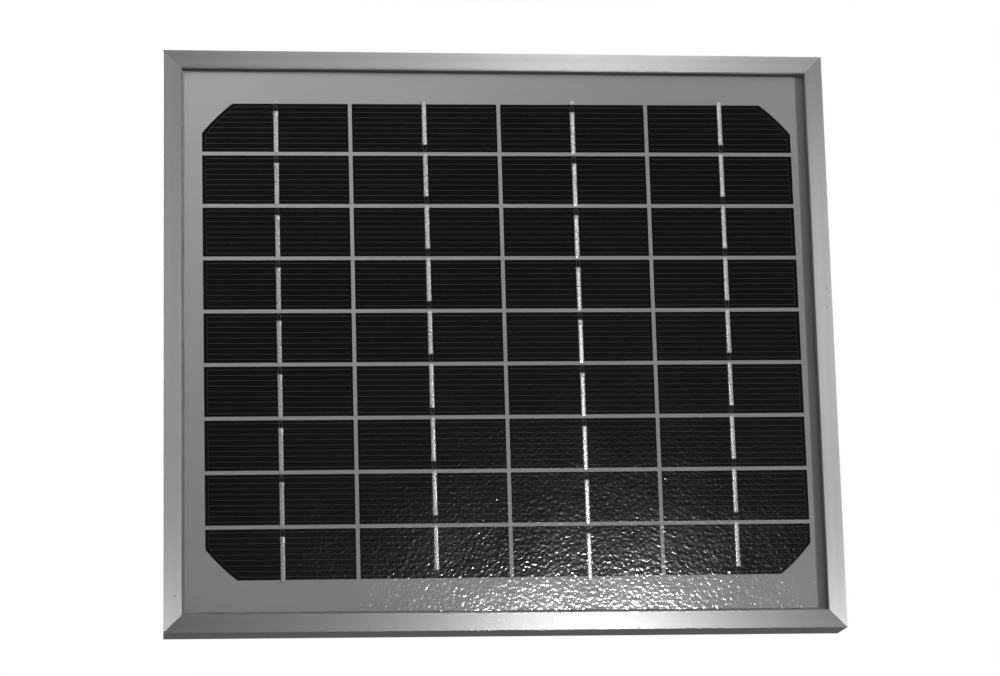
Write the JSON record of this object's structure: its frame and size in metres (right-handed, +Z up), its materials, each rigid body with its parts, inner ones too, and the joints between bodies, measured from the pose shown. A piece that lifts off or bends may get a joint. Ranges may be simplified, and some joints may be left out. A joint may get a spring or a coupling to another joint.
{
  "type": "solar panel",
  "caption": "Small framed photovoltaic panel: glass-fronted laminate of series-connected half-strip cells in a mitred aluminium frame, with a hinged junction box on its back.",
  "frame": {"origin": "centre of the rectangle of mounting holes, on the rear face of the frame's flange", "axes": "+Z up and +X to the right as the front is seen, +Y out of the back; the glass faces -Y"},
  "size_m": [0.356, 0.025, 0.312],
  "materials": {
    "anodised_frame": "fine brushed, clear anodised",
    "key_metal": "mill finish",
    "edge_sealant": "matte dark grey silicone",
    "cover_glass": "rolled, finely patterned, low iron",
    "clear_encapsulant": "clear",
    "white_encapsulant": "white, satin",
    "backsheet": "white, satin",
    "silicon_cell": "nearly black, antireflective",
    "tinned_ribbon": "tinned, uneven solder",
    "insulating_strip": "white film",
    "box_adhesive": "matte black silicone",
    "box_plastic": "black, fine texture",
    "gasket_rubber": "soft foam",
    "seal_rubber": "matte",
    "nut_plastic": "black, moulded",
    "terminal_metal": "tinned",
    "screw_steel": "zinc plated",
    "diode_body": "black epoxy, tinned leads"
  },
  "bodies": {
    "panel": {"backsheet": "backsheet", "bus_insulation": "insulating_strip", "bus_ribbons": "tinned_ribbon", "bypass_diode": "diode_body", "cell_r1_c1": "silicon_cell", "cell_r1_c2": "silicon_cell", "cell_r1_c3": "silicon_cell", "cell_r1_c4": "silicon_cell", "cell_r2_c1": "silicon_cell", "cell_r2_c2": "silicon_cell", "cell_r2_c3": "silicon_cell", "cell_r2_c4": "silicon_cell", "cell_r3_c1": "silicon_cell", "cell_r3_c2": "silicon_cell", "cell_r3_c3": "silicon_cell", "cell_r3_c4": "silicon_cell", "cell_r4_c1": "silicon_cell", "cell_r4_c2": "silicon_cell", "cell_r4_c3": "silicon_cell", "cell_r4_c4": "silicon_cell", "cell_r5_c1": "silicon_cell", "cell_r5_c2": "silicon_cell", "cell_r5_c3": "silicon_cell", "cell_r5_c4": "silicon_cell", "cell_r6_c1": "silicon_cell", "cell_r6_c2": "silicon_cell", "cell_r6_c3": "silicon_cell", "cell_r6_c4": "silicon_cell", "cell_r7_c1": "silicon_cell", "cell_r7_c2": "silicon_cell", "cell_r7_c3": "silicon_cell", "cell_r7_c4": "silicon_cell", "cell_r8_c1": "silicon_cell", "cell_r8_c2": "silicon_cell", "cell_r8_c3": "silicon_cell", "cell_r8_c4": "silicon_cell", "cell_r9_c1": "silicon_cell", "cell_r9_c2": "silicon_cell", "cell_r9_c3": "silicon_cell", "cell_r9_c4": "silicon_cell", "corner_keys": "key_metal", "edge_seal": "edge_sealant", "front_encapsulant": "clear_encapsulant", "glass": "cover_glass", "jbox_adhesive": "box_adhesive", "jbox_base": "box_plastic", "lid_gasket": "gasket_rubber", "rail_bottom": "anodised_frame", "rail_left": "anodised_frame", "rail_right": "anodised_frame", "rail_top": "anodised_frame", "rear_encapsulant": "white_encapsulant", "tab_ribbons": "tinned_ribbon", "terminal_screws": "screw_steel", "terminals": "terminal_metal"},
    "lid": {"jbox_lid": "box_plastic"},
    "seal_left": {"cable_seal_left": "seal_rubber"},
    "nut_left": {"gland_nut_left": "nut_plastic"},
    "seal_right": {"cable_seal_right": "seal_rubber"},
    "nut_right": {"gland_nut_right": "nut_plastic"}
  },
  "joints": [
    {"name": "lid_hinge", "type": "hinge", "parent": "panel", "child": "lid", "pos_m": [0, -0.0046, 0.1292], "axis": [1, 0, 0], "range_deg": [0, 110]},
    {"name": "gland_left_feed", "type": "slide", "parent": "panel", "child": "seal_left", "axis": [0, 0, -1], "range_m": [0, 0.003]},
    {"name": "gland_left_turn", "type": "hinge", "parent": "seal_left", "child": "nut_left", "pos_m": [-0.018, -0.0094, 0.063], "axis": [0, 0, -1], "range_deg": [0, 725]},
    {"name": "gland_right_feed", "type": "slide", "parent": "panel", "child": "seal_right", "axis": [0, 0, -1], "range_m": [0, 0.003]},
    {"name": "gland_right_turn", "type": "hinge", "parent": "seal_right", "child": "nut_right", "pos_m": [0.018, -0.0094, 0.063], "axis": [0, 0, -1], "range_deg": [0, 725]}
  ],
  "couplings": [
    {"joint": "gland_left_turn", "follows": "gland_left_feed", "rad_per_m": 4188.8},
    {"joint": "gland_right_turn", "follows": "gland_right_feed", "rad_per_m": 4188.8}
  ]
}
